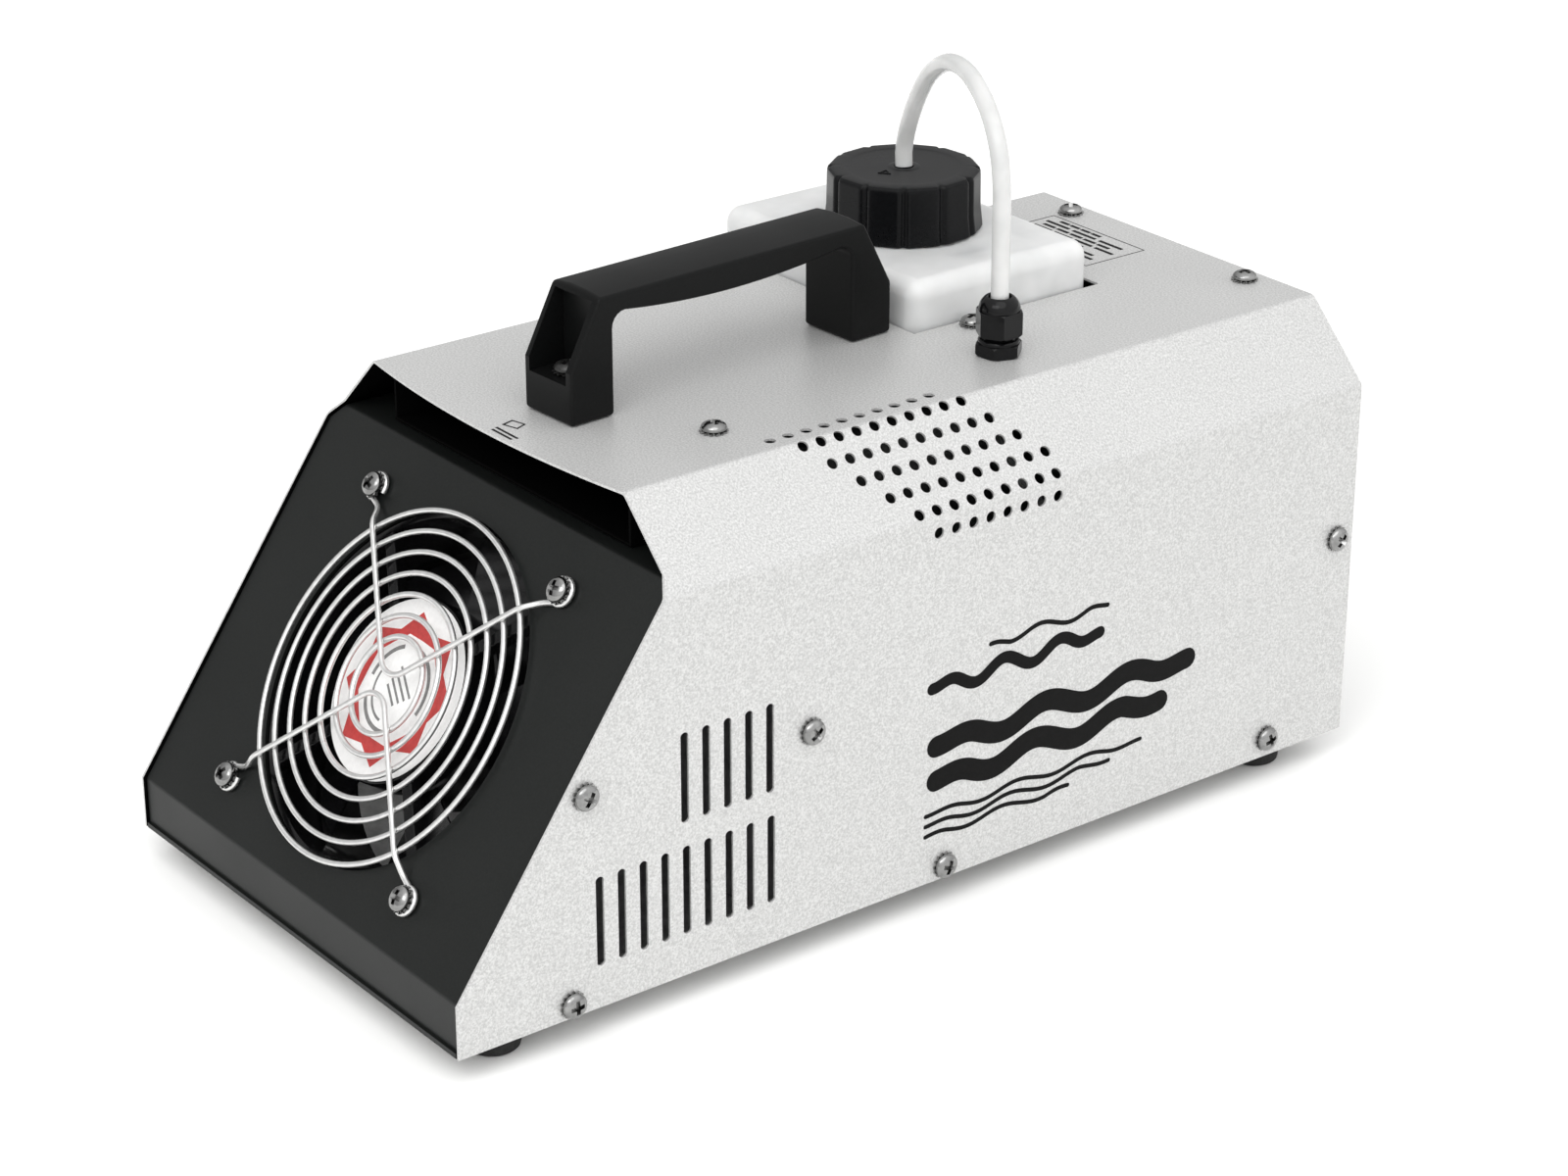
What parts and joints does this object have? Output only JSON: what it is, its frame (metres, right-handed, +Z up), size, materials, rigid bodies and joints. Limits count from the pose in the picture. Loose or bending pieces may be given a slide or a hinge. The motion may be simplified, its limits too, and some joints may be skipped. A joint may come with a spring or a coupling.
{
  "type": "fog machine",
  "caption": "Compact fog machine: slanted sheet-metal body with a guarded front fan, a fog outlet slot, a top carrying handle and a lift-out fluid tank with a suction hose.",
  "frame": {"origin": "centre of the footprint, on the floor under the feet", "axes": "+Z up; -Y is the front, where the fog leaves; +X is the side with the perforated shoulder and the hose gland"},
  "size_m": [0.1974, 0.3696, 0.2531],
  "materials": {
    "silver_paint": "semi-gloss silver-grey powder coat with a fine speckle",
    "black_paint": "satin black paint",
    "zinc": "zinc-plated sheet steel",
    "chrome": "bright chrome or zinc plating",
    "socket_metal": "nickel-plated die-cast shell",
    "steel": "ground steel",
    "cast_metal": "raw cast metal",
    "black_plastic": "black moulded plastic, slightly glossy",
    "rotor_plastic": "black glossy plastic",
    "grey_plastic": "dark grey plastic",
    "rubber": "black rubber",
    "milky_plastic": "translucent milky polyethylene",
    "hose_plastic": "translucent silicone",
    "board": "green circuit board"
  },
  "bodies": {
    "chassis": {"base_tray": "zinc", "bulkhead": "zinc", "control_board": "board", "display": "black_plastic", "fan_frame": "black_paint", "fan_guard": "chrome", "feed_line": "hose_plastic", "foot_1": "rubber", "foot_2": "rubber", "foot_3": "rubber", "foot_4": "rubber", "front_panel": "black_paint", "gland_body": "black_plastic", "gland_nut": "black_plastic", "guard_screw_1": "chrome", "guard_screw_2": "chrome", "guard_screw_3": "chrome", "guard_screw_4": "chrome", "handle": "black_plastic", "handle_screw_1": "chrome", "handle_screw_2": "chrome", "heater_block": "cast_metal", "hood": "silver_paint", "outlet_duct": "black_paint", "power_inlet": "black_plastic", "pump_body": "cast_metal", "rear_panel": "black_paint", "side_screw_left_1": "chrome", "side_screw_left_2": "chrome", "side_screw_left_3": "chrome", "side_screw_left_4": "chrome", "side_screw_left_5": "chrome", "side_screw_left_6": "chrome", "side_screw_right_1": "chrome", "side_screw_right_2": "chrome", "side_screw_right_3": "chrome", "side_screw_right_4": "chrome", "side_screw_right_5": "chrome", "side_screw_right_6": "chrome", "switch_housing": "black_plastic", "tank_shelf": "zinc", "top_screw_1": "chrome", "top_screw_2": "chrome", "top_screw_3": "chrome", "top_screw_4": "chrome", "top_screw_5": "chrome", "xlr_in": "socket_metal", "xlr_out": "socket_metal"},
    "fan_rotor": {"fan_rotor": "rotor_plastic"},
    "tank": {"tank": "milky_plastic"},
    "pickup": {"pickup_tube": "hose_plastic", "suction_hose": "hose_plastic"},
    "cap": {"tank_cap": "black_plastic"},
    "button_menu": {"button_menu": "grey_plastic"},
    "button_down": {"button_down": "grey_plastic"},
    "button_up": {"button_up": "grey_plastic"},
    "button_enter": {"button_enter": "grey_plastic"},
    "rocker": {"power_rocker": "grey_plastic"},
    "fuse_drawer": {"fuse_drawer": "black_plastic"},
    "plunger": {"pump_plunger": "steel"}
  },
  "joints": [
    {"name": "fan_spin", "type": "hinge", "parent": "chassis", "child": "fan_rotor", "pos_m": [0, -0.14391, 0.08474], "axis": [0, -0.8199, 0.5725], "continuous": true},
    {"name": "tank_lift", "type": "slide", "parent": "chassis", "child": "tank", "axis": [0, 0, 1], "range_m": [0, 0.095]},
    {"name": "cap_rise", "type": "slide", "parent": "tank", "child": "pickup", "axis": [0, 0, 1], "range_m": [0, 0.006]},
    {"name": "cap_turn", "type": "hinge", "parent": "pickup", "child": "cap", "pos_m": [-0.0359, 0.08925, 0.19], "axis": [0, 0, 1], "range_deg": [0, 541]},
    {"name": "button_menu_press", "type": "slide", "parent": "chassis", "child": "button_menu", "axis": [0, -1, 0], "range_m": [0, 0.001], "stiffness_N_per_m": 600, "springref_m": -0.0005},
    {"name": "button_down_press", "type": "slide", "parent": "chassis", "child": "button_down", "axis": [0, -1, 0], "range_m": [0, 0.001], "stiffness_N_per_m": 600, "springref_m": -0.0005},
    {"name": "button_up_press", "type": "slide", "parent": "chassis", "child": "button_up", "axis": [0, -1, 0], "range_m": [0, 0.001], "stiffness_N_per_m": 600, "springref_m": -0.0005},
    {"name": "button_enter_press", "type": "slide", "parent": "chassis", "child": "button_enter", "axis": [0, -1, 0], "range_m": [0, 0.001], "stiffness_N_per_m": 600, "springref_m": -0.0005},
    {"name": "rocker_tilt", "type": "hinge", "parent": "chassis", "child": "rocker", "pos_m": [-0.024, 0.17985, 0.048], "axis": [1, 0, 0], "range_deg": [0, 18]},
    {"name": "fuse_slide", "type": "slide", "parent": "chassis", "child": "fuse_drawer", "axis": [0, 1, 0], "range_m": [0, 0.012]},
    {"name": "plunger_stroke", "type": "slide", "parent": "chassis", "child": "plunger", "axis": [0, -1, 0], "range_m": [0, 0.004], "stiffness_N_per_m": 800}
  ],
  "couplings": [
    {"joint": "cap_turn", "follows": "cap_rise", "rad_per_m": 1570.8}
  ]
}
